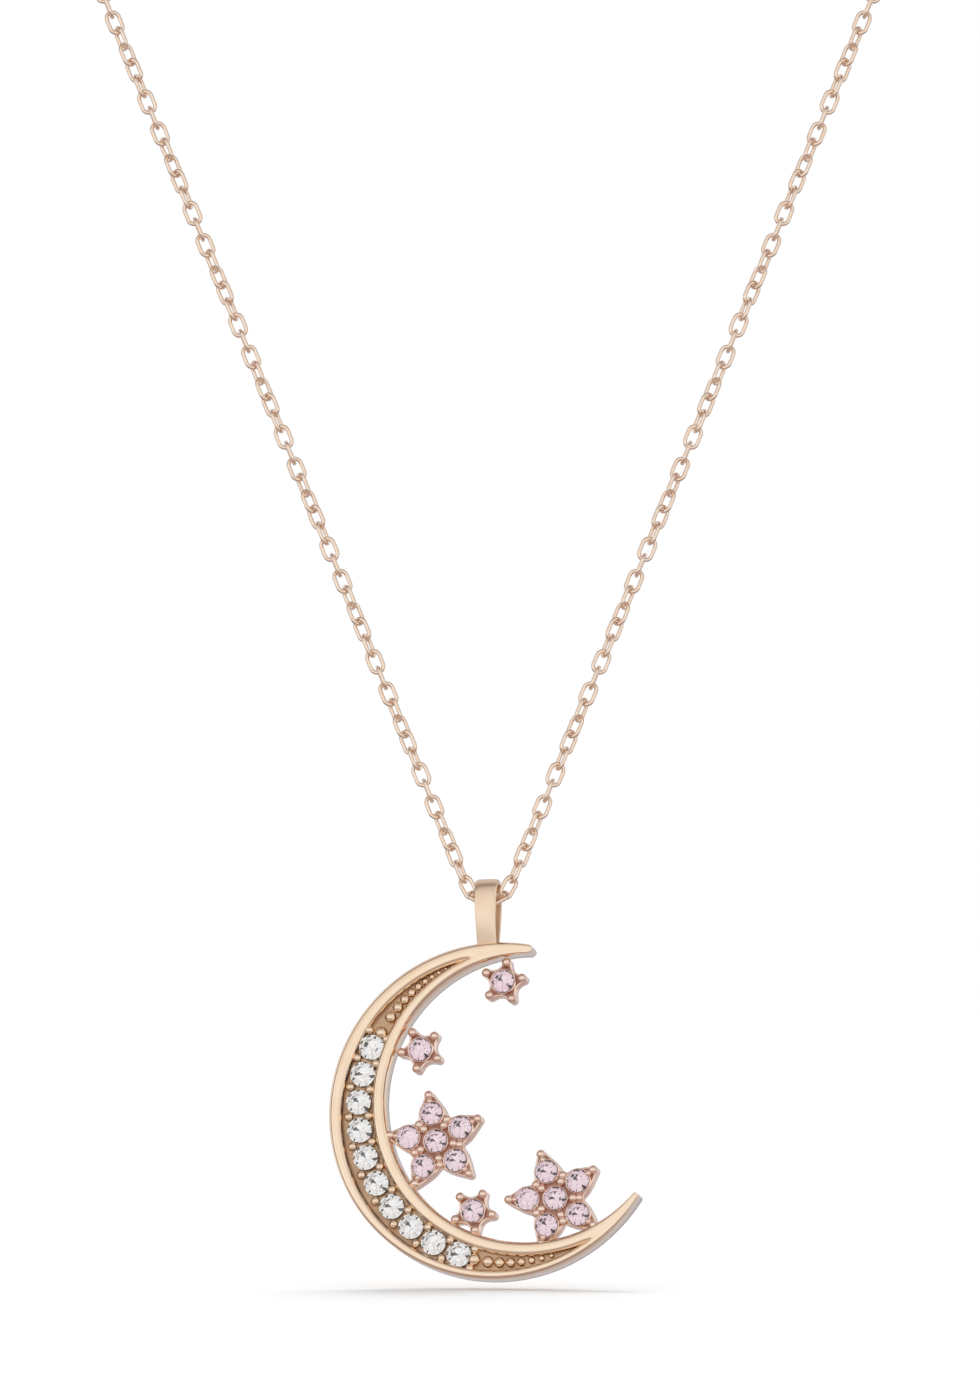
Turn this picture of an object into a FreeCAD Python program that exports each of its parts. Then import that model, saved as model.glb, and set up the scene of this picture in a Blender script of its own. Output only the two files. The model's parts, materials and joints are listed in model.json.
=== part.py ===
"""Crescent and stars pendant on a fine cable chain, as one closed necklace.

Frame: +Z up, -Y towards the viewer, +X to the viewer's right, millimetres.
The origin is the middle of the neck opening.  The two front strands run down in
one leaning plane to the bail, and the back of the loop goes round the neck to a
spring ring clasp at the nape.
"""
import FreeCAD, Part
import math
import os
import re

import Sketcher
from FreeCAD import Placement, Rotation, Vector

# ---------------------------------------------------------------- driving sizes

SIZES = (
    # chain
    ("wire_diameter", 0.21, "round wire of a cable link"),
    ("link_width", 0.87, "outer width of a link"),
    ("link_pitch", 0.885, "centre to centre along the chain"),
    ("link_play", 0.03, "free play between two linked wires"),
    ("links_per_repeat", 7, "links after which the twist repeats"),
    ("repeats_per_side", 33, "twist repeats from the bail to the clasp"),
    ("front_repeats", 17, "repeats on each front strand, up to the shoulder"),
    ("first_roll", 12.86, "roll of the first link of a strand, degrees"),
    ("corner_roll", 36, "roll of the link that turns the corner above the bail"),
    ("corner_slope", 62, "slope of that link, degrees"),
    ("centre_roll", 47, "roll of the two links inside the bail"),
    ("centre_slope", 26, "slope of the two links inside the bail"),
    ("centre_play", 0.10, "free play of the two links inside the bail"),
    ("strand_angle", 21.9, "half angle between the two front strands"),
    ("lean", 10.5, "lean of the front strands and the pendant, degrees"),
    ("neck_rise", 20, "rise of the back of the loop, degrees"),
    ("shoulder_radius", 28, "bend of the chain over each shoulder"),
    # pendant
    ("pendant_turn", 10.5, "rest turn of the pendant about its bail, degrees"),
    ("reference_drop", 0.087, "pendant reference point above the lowest links"),
    ("crescent_thickness", 1.5, "front to back"),
    ("crescent_radius", 8.49, "outer edge"),
    ("crescent_x", 0.51, "centre of the outer edge"),
    ("crescent_z", -10.70, "centre of the outer edge"),
    ("hollow_radius", 7.28, "inner edge"),
    ("hollow_x", 2.13, "centre of the inner edge"),
    ("hollow_z", -10.10, "centre of the inner edge"),
    ("upper_tip_radius", 0.24, "rounding of the upper horn"),
    ("lower_tip_radius", 0.15, "rounding of the lower horn"),
    ("edge_round", 0.12, "rounded rim of the crescent"),
    ("channel_depth", 0.48, "depth of the stone channel"),
    ("channel_outer_radius", 7.93, "outer wall of the channel"),
    ("channel_outer_x", 0.60, "its centre"),
    ("channel_outer_z", -10.83, "its centre"),
    ("channel_inner_radius", 7.86, "inner wall of the channel"),
    ("channel_inner_x", 2.05, "its centre"),
    ("channel_inner_z", -10.21, "its centre"),
    # stones
    ("white_count", 10, "stones in the crescent"),
    ("white_diameter", 1.25, "girdle of a crescent stone"),
    ("white_arc_radius", 7.90, "arc through the crescent stones"),
    ("white_arc_x", 1.40, "its centre"),
    ("white_arc_z", -10.51, "its centre"),
    ("white_first_angle", 156.2, "first stone, degrees"),
    ("white_last_angle", 249.2, "last stone, degrees"),
    ("pink_diameter", 1.12, "girdle of a star stone"),
    ("seat_clearance", 0.02, "between a stone and its seat"),
    ("white_turn_step", 17, "turn of one crescent stone's facets against the last, degrees"),
    ("pink_turn_step", 31, "turn of one star stone's facets against the last, degrees"),
    ("crown_height", 0.15, "table above the girdle, over the diameter of the stone"),
    ("pavilion_depth", 0.45, "culet below the girdle, over the diameter"),
    ("girdle_half", 0.012, "half height of the girdle, over the diameter"),
    ("star_facet_rise", 0.055, "where the star facets would meet the edge, over the diameter"),
    ("crown_main_slope", 0.66, "main facets of the crown"),
    ("crown_star_slope", 0.47, "star facets of the crown"),
    ("crown_half_slope", 0.78, "half facets of the crown"),
    ("pavilion_main_slope", 0.86, "main facets of the pavilion"),
    ("pavilion_half_slope", 0.93, "half facets of the pavilion"),
    ("table_depth", 0.02, "stone table below the front of the rails"),
    # beads of metal
    ("bead_low_latitude", -55, "where a bead ends in the metal below, degrees"),
    ("bead_high_latitude", 80, "where a bead's worn top starts, degrees"),
    ("post_share", 0.9, "radius of a bead's post over the bead's own"),
    ("milgrain_sink", 0.5, "bead centre above the channel floor, over the bead's radius"),
    ("prong_radius", 0.22, "bead that holds a crescent stone"),
    ("prong_offset", 0.52, "prong beads from the arc of the stones"),
    ("prong_recess", 0.06, "top of a prong bead below the front of the rails"),
    ("upper_bead_count", 11, "milgrain beads in the upper arm"),
    ("upper_bead_first", 145, "angle of the first, degrees"),
    ("upper_bead_last", 107, "angle of the last, degrees"),
    ("upper_bead_near", 7.17, "reach of the first from the crescent's centre"),
    ("upper_bead_far", 7.75, "reach of the last"),
    ("upper_bead_large", 0.25, "radius of the first"),
    ("upper_bead_small", 0.06, "radius of the last"),
    ("upper_bead_spacing", 0.72, "power that closes the row up towards the horn"),
    ("lower_bead_count", 8, "milgrain beads in the lower arm"),
    ("lower_bead_first", 261.3, "angle of the first, degrees"),
    ("lower_bead_last", 290.5, "angle of the last, degrees"),
    ("lower_bead_near", 7.55, "reach of the first"),
    ("lower_bead_far", 7.86, "reach of the last"),
    ("lower_bead_large", 0.26, "radius of the first"),
    ("lower_bead_small", 0.11, "radius of the last"),
    ("lower_bead_spacing", 0.88, "power that closes the row up towards the horn"),
    # stars
    ("star_thickness", 0.80, "star plates"),
    ("star_recess", 0.42, "star plate below the front of the rails"),
    ("collar_wall", 0.08, "collar round a star stone"),
    ("collar_height", 0.22, "collar above the star plate"),
    ("small_star_reach", 1.21, "tip of a small star from its centre"),
    ("small_star_notch", 0.74, "notch of a small star from its centre"),
    ("large_star_reach", 2.60, "tip of a large star from its centre"),
    ("large_star_notch", 1.36, "notch of a large star from its centre"),
    ("large_star_ring", 1.42, "outer stones of a large star from its centre"),
    ("tip_bead_radius", 0.235, "bead at a star's tip"),
    ("tip_bead_inset", 0.24, "that bead's centre inside the star's tip"),
    ("claw_bead_radius", 0.12, "bead between that one and the stone of a large star"),
    ("claw_bead_reach", 2.10, "that bead's centre from the star's centre"),
    ("notch_bead_radius", 0.18, "bead between two stones of a star"),
    ("notch_bead_inset", 0.16, "that bead's centre inside the notch"),
    ("inner_bead_reach", 0.87, "inner beads of a large star from its centre"),
    # bail
    ("bail_width", 1.15, "width of the strip"),
    ("bail_depth", 1.95, "front to back"),
    ("bail_strip", 0.26, "thickness of the strip"),
    ("bail_top", 1.05, "top of the loop above the reference point"),
    ("bail_top_strip", 0.34, "thickness at the top of the loop"),
    ("bail_x", 0.0, "middle of the strip"),
    ("bail_web", 0.45, "solid foot of the loop above the crescent"),
    ("bail_sink", 0.22, "foot of the strip below the top of the crescent, before it is trimmed"),
    # clasp
    ("fine_play", 0.03, "free play between rings of the clasp"),
    ("jump_ring_radius", 1.0, "centre line of the jump ring"),
    ("jump_wire_radius", 0.2, "its wire"),
    ("end_ring_radius", 1.2, "centre line of the end ring"),
    ("end_wire_radius", 0.22, "its wire"),
    ("clasp_radius", 2.3, "centre line of the spring ring"),
    ("clasp_tube_radius", 0.65, "outside of its tube"),
    ("clasp_bore_radius", 0.44, "inside of its tube"),
    ("clasp_gap_start", 35, "where the tube opens, degrees"),
    ("clasp_gap_angle", 45, "opening of the tube, degrees"),
    ("clasp_end_wall", 8, "closed end of the tube, degrees"),
    ("clasp_eye_radius", 0.78, "centre line of the eye"),
    ("clasp_eye_wire", 0.19, "wire radius of the eye"),
    ("clasp_eye_offset", 3.6, "eye from the centre of the ring"),
    ("bolt_clearance", 0.03, "bolt to bore"),
    ("bolt_tail", 120, "bolt inside the tube, degrees"),
    ("bolt_entry", 6, "bolt tip inside the far end, degrees"),
    ("bolt_travel", 40, "travel of the bolt, degrees"),
    ("thumb_angle", 14, "thumb stud behind the opening, degrees"),
    ("thumb_radius", 0.16, "thumb stud"),
    ("thumb_height", 0.62, "thumb stud above the tube's centre line"),
    ("slot_margin", 5, "slot beyond the thumb stud at each end of its travel, degrees"),
    ("spring_wire", 0.08, "wire radius of the spring"),
    ("spring_radius", 0.30, "centre line of a turn"),
    ("spring_turns", 12, "turns"),
    ("spring_end_gap", 2, "free angle at each end of the spring, degrees"),
)

doc = FreeCAD.newDocument("pendant_necklace")
sheet = doc.addObject("Spreadsheet::Sheet", "sizes")
for row, (alias, number, note) in enumerate(SIZES, start=1):
    sheet.set(f"A{row}", alias)
    sheet.set(f"B{row}", str(number))
    sheet.setAlias(f"B{row}", alias)
    sheet.set(f"C{row}", note)
doc.recompute()

REFERENCES = {alias: f"sizes.{alias}" for alias, number, note in SIZES}
UP = Vector(0, 0, 1)
RIGHT = Vector(1, 0, 0)
FRONT = Vector(0, -1, 0)

pieces = {}


def value(expression):
    """Number that an expression over the sheet gives now."""
    return float(sheet.evalExpression(expression))


def size(alias):
    """One driving size."""
    return value(alias)


def unit(vector):
    """Copy of a vector with length one."""
    copy = Vector(vector)
    return copy.normalize()


# ------------------------------------------------------------- drawing helpers

def sizes(expression):
    """Expression with each alias turned into a reference to the sheet."""
    return re.sub(r"[a-z]\w*", lambda found: REFERENCES.get(found[0], found[0]), expression)


def set_size(item, path, expression):
    """Set a property to a formula over the driving sizes."""
    item.setExpression(path, sizes(expression))


def origin_item(body, role):
    """Origin plane or axis of a body."""
    return next(item for item in body.Origin.OriginFeatures if item.Role == role)


def new_body(label):
    """Empty body with a name."""
    body = doc.addObject("PartDesign::Body", label)
    body.Label = label
    return body


def new_sketch(body, name, role, along="0", right="0", up="0"):
    """Sketch on an origin plane, moved along its normal and within its plane."""
    sketch = body.newObject("Sketcher::SketchObject", name)
    sketch.AttachmentSupport = [(origin_item(body, role), "")]
    sketch.MapMode = "FlatFace"
    set_size(sketch, "AttachmentOffset.Base.x", right)
    set_size(sketch, "AttachmentOffset.Base.y", up)
    set_size(sketch, "AttachmentOffset.Base.z", along)
    return sketch


def constrain(sketch, constraint, name=None, expression=None):
    """Add a constraint, named and tied to the sheet when it has a size."""
    index = sketch.addConstraint(constraint)
    if name:
        sketch.renameConstraint(index, name)
        set_size(sketch, f"Constraints.{name}", expression)


def fix_centre(sketch, curve, name, across, upward):
    """Place the centre of a circle or arc from the sketch origin."""
    for kind, suffix, expression in (("DistanceX", "x", across), ("DistanceY", "y", upward)):
        constraint = Sketcher.Constraint(kind, -1, 1, curve, 3, value(expression))
        constrain(sketch, constraint, f"{name}_{suffix}", expression)


def draw_circle(sketch, name, across, upward, radius):
    """Full circle with its centre and radius tied to the sheet."""
    centre = Vector(value(across), value(upward), 0)
    curve = sketch.addGeometry(Part.Circle(centre, UP, value(radius)))
    fix_centre(sketch, curve, name, across, upward)
    constrain(sketch, Sketcher.Constraint("Radius", curve, value(radius)), f"{name}_radius", radius)
    return curve


def draw_arc(sketch, name, radius, centre, start, end, fixed=None):
    """Arc between two angles; fixed gives the centre as two expressions."""
    while end <= start:
        end += 2 * math.pi
    circle = Part.Circle(centre, UP, value(radius))
    curve = sketch.addGeometry(Part.ArcOfCircle(circle, start, end))
    if fixed:
        fix_centre(sketch, curve, name, *fixed)
    constrain(sketch, Sketcher.Constraint("Radius", curve, value(radius)), f"{name}_radius", radius)
    return curve


def draw_polygon(sketch, points):
    """Closed outline of straight lines, each corner placed by two expressions."""
    corners = [Vector(value(across), value(upward), 0) for across, upward in points]
    lines = []
    for number, corner in enumerate(corners):
        following = corners[(number + 1) % len(corners)]
        lines.append(sketch.addGeometry(Part.LineSegment(corner, following)))
    for number, line in enumerate(lines):
        following = lines[(number + 1) % len(lines)]
        sketch.addConstraint(Sketcher.Constraint("Coincident", line, 2, following, 1))
    for number, (across, upward) in enumerate(points):
        for kind, suffix, expression in (("DistanceX", "x", across), ("DistanceY", "y", upward)):
            constraint = Sketcher.Constraint(kind, -1, 1, lines[number], 1, value(expression))
            constrain(sketch, constraint, f"corner{number}_{suffix}", expression)


def pad(body, sketch, length, midplane=False):
    """Pad of a sketch, along its normal or to both sides."""
    feature = body.newObject("PartDesign::Pad", f"{sketch.Name}_pad")
    feature.Profile = sketch
    set_size(feature, "Length", length)
    feature.Midplane = midplane
    return feature


def pocket(body, sketch, length=None, midplane=False):
    """Pocket against the sketch normal; without a length it goes through all."""
    feature = body.newObject("PartDesign::Pocket", f"{sketch.Name}_pocket")
    feature.Profile = sketch
    feature.Midplane = midplane
    if length is None:
        feature.Type = "ThroughAll"
    else:
        set_size(feature, "Length", length)
    return feature


def polar(body, feature, axis, count, angle="360"):
    """Copies of a feature round an axis; it becomes the body's tip."""
    pattern = body.newObject("PartDesign::PolarPattern", f"{feature.Name}_pattern")
    pattern.Originals = [feature]
    pattern.Axis = axis
    set_size(pattern, "Angle", angle)
    set_size(pattern, "Occurrences", count)
    body.Tip = pattern
    return pattern


def keep(label, item):
    """List an object as one of the necklace's pieces."""
    item.Label = label
    pieces[label] = item
    return item


def combine(kind, name, items):
    """Fuse, common or cut of whole objects, with its faces left as they meet."""
    result = doc.addObject(f"Part::{kind}", name)
    if kind == "Cut":
        result.Base, result.Tool = items
    else:
        result.Shapes = items
    result.Refine = False
    return result


def direction_angle(vector):
    """Angle of a vector in the sketch plane."""
    return math.atan2(vector.y, vector.x)


# ------------------------------------------------------------- necklace layout

def tilt(slope):
    """Direction in the leaning front plane, on the right, at a slope in degrees."""
    lean = math.radians(size("lean"))
    angle = math.radians(slope)
    rise = math.sin(angle)
    return Vector(math.cos(angle), rise * math.sin(lean), rise * math.cos(lean))


def front_normal():
    """Normal of the leaning front plane, towards the viewer."""
    lean = math.radians(size("lean"))
    return Vector(0, -math.cos(lean), math.sin(lean))


class Bend:
    """Tangent arc from one direction to another."""

    def __init__(self, start, end, radius):
        self.start = start
        self.angle = start.getAngle(end)
        self.inward = unit(end - start * start.dot(end))
        self.axis = unit(start.cross(self.inward))
        self.radius = radius
        self.length = radius * self.angle

    def point(self, distance):
        """Point at a distance along the arc, from its start."""
        turn = distance / self.radius
        along = self.start * math.sin(turn)
        return (along + self.inward * (1 - math.cos(turn))) * self.radius


class Route:
    """Right half of the necklace: strand, shoulder bend, half of the neck loop."""

    def __init__(self):
        pitch = size("link_pitch")
        self.strand = tilt(90 - size("strand_angle"))
        rise = math.radians(size("neck_rise"))
        self.back = Vector(0, math.cos(rise), math.sin(rise))
        self.shoulder = Bend(self.strand, self.back, size("shoulder_radius"))
        self.corner_link = tilt(size("corner_slope")) * pitch
        self.centre_link = tilt(size("centre_slope")) * pitch
        self.count = round(size("repeats_per_side") * size("links_per_repeat"))
        self.front_count = round(size("front_repeats") * size("links_per_repeat"))
        self.front_length = self.front_count * pitch
        # the neck loop's radius follows from the width that the shoulders reach
        corner = self.corner_link.x + self.centre_link.x
        shoulder_reach = self.shoulder.point(self.shoulder.length).x
        self.straight = self.solve_straight(corner + shoulder_reach)
        self.loop_radius = corner + self.straight * self.strand.x + shoulder_reach - clasp_half_length()
        self.loop = Bend(self.back, -RIGHT, self.loop_radius)
        self.loop_start = Vector(self.loop_radius + clasp_half_length(), 0, 0)
        self.shoulder_start = self.loop_start - self.shoulder.point(self.shoulder.length)
        self.strand_start = self.shoulder_start - self.strand * self.straight
        self.corner = self.strand_start - self.corner_link
        self.vertex = self.corner - self.centre_link

    def solve_straight(self, fixed_reach):
        """Straight run that lets the whole side be a whole number of links."""
        length = (self.count - 1) * size("link_pitch")
        quarter = math.pi / 2
        rest = length - self.shoulder.length - quarter * (fixed_reach - clasp_half_length())
        return rest / (1 + quarter * self.strand.x)

    def point(self, distance):
        """Point on the right side, from the start of the straight strand."""
        if distance <= self.straight:
            return self.strand_start + self.strand * distance
        distance -= self.straight
        if distance <= self.shoulder.length:
            return self.shoulder_start + self.shoulder.point(distance)
        return self.loop_start + self.loop.point(distance - self.shoulder.length)

    def normal(self, distance):
        """Reference normal, carried along the route without twist."""
        vector = front_normal()
        distance -= self.straight
        for bend in (self.shoulder, self.loop):
            turn = min(max(distance / bend.radius, 0), bend.angle)
            vector = Rotation(bend.axis, math.degrees(turn)).multVec(vector)
            distance -= bend.length
        return vector


def clasp_half_length():
    """Half of the straight stretch that the clasp and its rings take."""
    play = size("fine_play") / 2
    jump = 2 * (size("jump_ring_radius") - size("jump_wire_radius") - play)
    eye = size("clasp_eye_offset") + size("clasp_eye_radius") - size("clasp_eye_wire") - play
    ring = size("clasp_radius") - size("clasp_tube_radius") - play
    end = 2 * (size("end_ring_radius") - size("end_wire_radius") - play)
    return (jump + eye + ring + end) / 2


route = Route()


# ------------------------------------------------------------------- the chain

def link_master(label, play):
    """One cable link: round wire bent to a racetrack, with its length along X."""
    body = new_body(label)
    bend = "(link_width - wire_diameter) / 2"
    half_run = f"((link_pitch + wire_diameter + {play}) / 2 - {bend})"
    path = new_sketch(body, f"{label}_path", "XY_Plane")
    run, radius = value(half_run), value(bend)
    quarter = math.pi / 2
    right = draw_arc(path, "right", bend, Vector(run, 0, 0), -quarter, quarter, (half_run, "0"))
    top = path.addGeometry(Part.LineSegment(Vector(run, radius, 0), Vector(-run, radius, 0)))
    left = draw_arc(path, "left", bend, Vector(-run, 0, 0), quarter, 3 * quarter, (f"-{half_run}", "0"))
    bottom = path.addGeometry(Part.LineSegment(Vector(-run, -radius, 0), Vector(run, -radius, 0)))
    for first, end, second, start in ((right, 2, top, 1), (top, 2, left, 1),
                                      (left, 2, bottom, 1), (bottom, 2, right, 1)):
        path.addConstraint(Sketcher.Constraint("Tangent", first, end, second, start))
    section = new_sketch(body, f"{label}_section", "YZ_Plane")
    draw_circle(section, "wire", bend, "0", "wire_diameter / 2")
    pipe = body.newObject("PartDesign::AdditivePipe", f"{label}_pipe")
    pipe.Profile = section
    pipe.Spine = path
    body.Tip = pipe
    return body


def link_placement(start, end, normal, roll):
    """Place a link between two contacts, rolled about its own length."""
    along = unit(end - start)
    across = unit(normal.cross(along))
    lateral = Rotation(along, roll).multVec(across)
    return Placement((start + end) * 0.5, Rotation(along, lateral, along.cross(lateral), "XYZ"))


def mirrored(vector):
    """The same place on the left side."""
    return Vector(-vector.x, vector.y, vector.z)


def place_on_side(side, start, end, normal, roll):
    """Link placement on the right side, or its mirror image on the left."""
    if side == "right":
        return link_placement(start, end, normal, roll)
    return link_placement(mirrored(start), mirrored(end), mirrored(normal), -roll)


def chain_piece(label, master, placements):
    """Separate links of one stretch of chain, copied from one pattern link."""
    links = []
    for placement in placements:
        link = master.Shape.copy()
        link.Placement = placement.multiply(link.Placement)
        links.append(link)
    stretch = doc.addObject("Part::Feature", label)
    stretch.Shape = Part.makeCompound(links)
    keep(label, stretch)


def chain_placements(side):
    """Placements of all links of one side, the corner link first."""
    pitch = size("link_pitch")
    step = 90 + 90 / size("links_per_repeat")
    placements = [place_on_side(side, route.corner, route.strand_start,
                                front_normal(), size("corner_roll"))]
    for number in range(1, route.count):
        near = (number - 1) * pitch
        far = number * pitch
        roll = size("first_roll") + number * step
        placements.append(place_on_side(side, route.point(near), route.point(far),
                                        route.normal((near + far) / 2), roll))
    return placements


HEIGHTS = ("lower", "middle", "upper")


def build_chain():
    """Front strands, neck stretches and the two links inside the bail."""
    link = link_master("link_pattern", "link_play")
    centre = link_master("centre_link_pattern", "centre_play")
    doc.recompute()
    for side in ("left", "right"):
        placements = chain_placements(side)
        front = placements[:route.front_count]
        back = placements[route.front_count:]
        for part_name, part in (("front", front), ("neck", back)):
            share = math.ceil(len(part) / len(HEIGHTS))
            for number, height in enumerate(HEIGHTS):
                stretch = part[number * share:(number + 1) * share]
                chain_piece(f"{part_name}_chain_{side}_{height}", link, stretch)
    inside = [place_on_side(side, route.vertex, route.corner, front_normal(), -size("centre_roll"))
              for side in ("left", "right")]
    chain_piece("bail_links", centre, inside)


# ------------------------------------------------------- pendant: the crescent

def in_crescent(name):
    """Centre of a named curve as two expressions."""
    return f"{name}_x", f"{name}_z"


def centre_of(name):
    """Centre of a named curve in the sketch plane."""
    return Vector(size(f"{name}_x"), size(f"{name}_z"), 0)


def meet(first, first_radius, second, second_radius, sign):
    """One of the two points that lie on two circles; sign picks the side."""
    gap = second - first
    distance = gap.Length
    along = (distance ** 2 + first_radius ** 2 - second_radius ** 2) / (2 * distance)
    height = math.sqrt(first_radius ** 2 - along ** 2)
    direction = unit(gap)
    side = Vector(-direction.y, direction.x, 0)
    return first + direction * along + side * (sign * height)


def draw_crescent(sketch):
    """Outline of the crescent: two arcs joined by two round horn tips."""
    outer, inner = centre_of("crescent"), centre_of("hollow")
    outer_radius, inner_radius = size("crescent_radius"), size("hollow_radius")
    tips = {}
    for name, sign in (("upper_tip", 1), ("lower_tip", -1)):
        tip_radius = size(f"{name}_radius")
        tips[name] = meet(outer, outer_radius - tip_radius, inner, inner_radius + tip_radius, sign)
    upper, lower = tips["upper_tip"], tips["lower_tip"]
    out_up, out_low = direction_angle(upper - outer), direction_angle(lower - outer)
    in_up, in_low = direction_angle(upper - inner), direction_angle(lower - inner)
    outer_arc = draw_arc(sketch, "outer", "crescent_radius", outer, out_up, out_low, in_crescent("crescent"))
    inner_arc = draw_arc(sketch, "inner", "hollow_radius", inner, in_up, in_low, in_crescent("hollow"))
    upper_arc = draw_arc(sketch, "upper", "upper_tip_radius", upper, in_up - math.pi, out_up)
    lower_arc = draw_arc(sketch, "lower", "lower_tip_radius", lower, out_low, in_low + math.pi)
    for first, end, second, start in ((upper_arc, 2, outer_arc, 1), (outer_arc, 2, lower_arc, 1),
                                      (lower_arc, 2, inner_arc, 2), (inner_arc, 1, upper_arc, 1)):
        sketch.addConstraint(Sketcher.Constraint("Tangent", first, end, second, start))


def draw_channel(sketch):
    """Outline of the stone channel: two arcs that meet in two points."""
    outer, inner = centre_of("channel_outer"), centre_of("channel_inner")
    upper = meet(outer, size("channel_outer_radius"), inner, size("channel_inner_radius"), 1)
    lower = meet(outer, size("channel_outer_radius"), inner, size("channel_inner_radius"), -1)
    curves = []
    for name, centre in (("channel_outer", outer), ("channel_inner", inner)):
        curves.append(draw_arc(sketch, name, f"{name}_radius", centre, direction_angle(upper - centre),
                               direction_angle(lower - centre), in_crescent(name)))
    for end in (1, 2):
        sketch.addConstraint(Sketcher.Constraint("Coincident", curves[0], end, curves[1], end))


def round_rim(body, feature, faces_at, radius):
    """Fillet the rim edges that lie in the front and back planes."""
    doc.recompute()
    names = []
    for number, edge in enumerate(feature.Shape.Edges, start=1):
        box = edge.BoundBox
        flat = box.YLength < 1e-6
        if flat and any(abs(box.YMin - place) < 1e-6 for place in faces_at):
            names.append(f"Edge{number}")
    fillet = body.newObject("PartDesign::Fillet", f"{feature.Name}_rim")
    fillet.Base = (feature, names)
    set_size(fillet, "Radius", radius)
    body.Tip = fillet
    return fillet


def seat_radius(diameter, floor):
    """Hole that a stone's cone fills at the floor of its setting, at a depth behind the rails."""
    depth = f"({floor} - table_depth - (crown_height + girdle_half) * {diameter})"
    return f"{diameter} / 2 - {depth} / pavilion_main_slope + seat_clearance"


def crescent_body():
    """Cast crescent with its channel and the seats of the stones."""
    body = new_body("crescent_body")
    outline = new_sketch(body, "crescent_outline", "XZ_Plane")
    draw_crescent(outline)
    plate = pad(body, outline, "crescent_thickness", midplane=True)
    half = size("crescent_thickness") / 2
    round_rim(body, plate, (-half, half), "edge_round")
    channel = new_sketch(body, "channel_outline", "XZ_Plane", along="crescent_thickness / 2")
    draw_channel(channel)
    pocket(body, channel, "channel_depth")
    seat = new_sketch(body, "seat_outline", "XZ_Plane", along="crescent_thickness / 2",
                      right="white_arc_x", up="white_arc_z")
    across = "white_arc_radius * cos(white_first_angle * 1deg)"
    upward = "white_arc_radius * sin(white_first_angle * 1deg)"
    draw_circle(seat, "seat", across, upward, seat_radius("white_diameter", "channel_depth"))
    hole = pocket(body, seat)
    polar(body, hole, (seat, ["N_Axis"]), "white_count", "white_last_angle - white_first_angle")
    return body


def bead(name, x, z, radius, depth):
    """Ball of metal with worn ends; depth is its centre behind the front of the rails."""
    ball = doc.addObject("Part::Sphere", name)
    set_size(ball, "Radius", radius)
    set_size(ball, "Angle1", "bead_low_latitude")
    set_size(ball, "Angle2", "bead_high_latitude")
    ball.Placement = Placement(Vector(x, -size("crescent_thickness") / 2 + depth, z), Rotation(UP, FRONT))
    return ball


def post(name, x, z, radius, top, bottom):
    """Round post between two depths behind the front of the rails."""
    pillar = doc.addObject("Part::Cylinder", name)
    set_size(pillar, "Radius", f"post_share * ({radius})")
    pillar.Height = bottom - top
    pillar.Placement = Placement(Vector(x, -size("crescent_thickness") / 2 + bottom, z), Rotation(UP, FRONT))
    return pillar


def polar_point(centre, reach, angle):
    """Point at a reach and an angle in degrees from a centre."""
    turn = math.radians(angle)
    return centre + Vector(reach * math.cos(turn), reach * math.sin(turn), 0)


def milgrain(arm):
    """Row of beads that shrink towards a horn of the crescent."""
    count = round(size(f"{arm}_bead_count"))
    first, last = size(f"{arm}_bead_first"), size(f"{arm}_bead_last")
    near, far = size(f"{arm}_bead_near"), size(f"{arm}_bead_far")
    balls = []
    for number in range(count):
        share = number / (count - 1)
        along = share ** size(f"{arm}_bead_spacing")
        place = polar_point(centre_of("crescent"), near + (far - near) * along, first + (last - first) * along)
        radius = f"{arm}_bead_large + ({arm}_bead_small - {arm}_bead_large) * {share}"
        depth = size("channel_depth") - size("milgrain_sink") * value(radius)
        balls.append(bead(f"{arm}_bead_{number}", place.x, place.y, radius, depth))
    return balls


def stone_angles():
    """Angles of the crescent stones on their arc."""
    count = round(size("white_count"))
    first, last = size("white_first_angle"), size("white_last_angle")
    return [first + (last - first) * number / (count - 1) for number in range(count)]


def prongs():
    """Pairs of beads between the crescent stones, and beyond the first and last."""
    angles = stone_angles()
    step = angles[1] - angles[0]
    balls = []
    for number in range(len(angles) + 1):
        angle = angles[0] + (number - 0.5) * step
        for side in (-1, 1):
            reach = size("white_arc_radius") + side * size("prong_offset")
            place = polar_point(centre_of("white_arc"), reach, angle)
            depth = size("prong_recess") + size("prong_radius")
            name = f"prong_{number}_{side + 1}"
            balls.append(bead(name, place.x, place.y, "prong_radius", depth))
            foot = size("channel_depth") + size("prong_radius")
            balls.append(post(f"{name}_post", place.x, place.y, "prong_radius", depth, foot))
    return balls


def build_crescent():
    """Crescent casting with all its beads as one solid."""
    body = crescent_body()
    beads = milgrain("upper") + milgrain("lower") + prongs()
    fused = combine("MultiFuse", "crescent_frame", [body] + beads)
    fused.Placement = pendant_place
    keep("crescent_frame", fused)


# ---------------------------------------------------------- pendant: the stars

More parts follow.
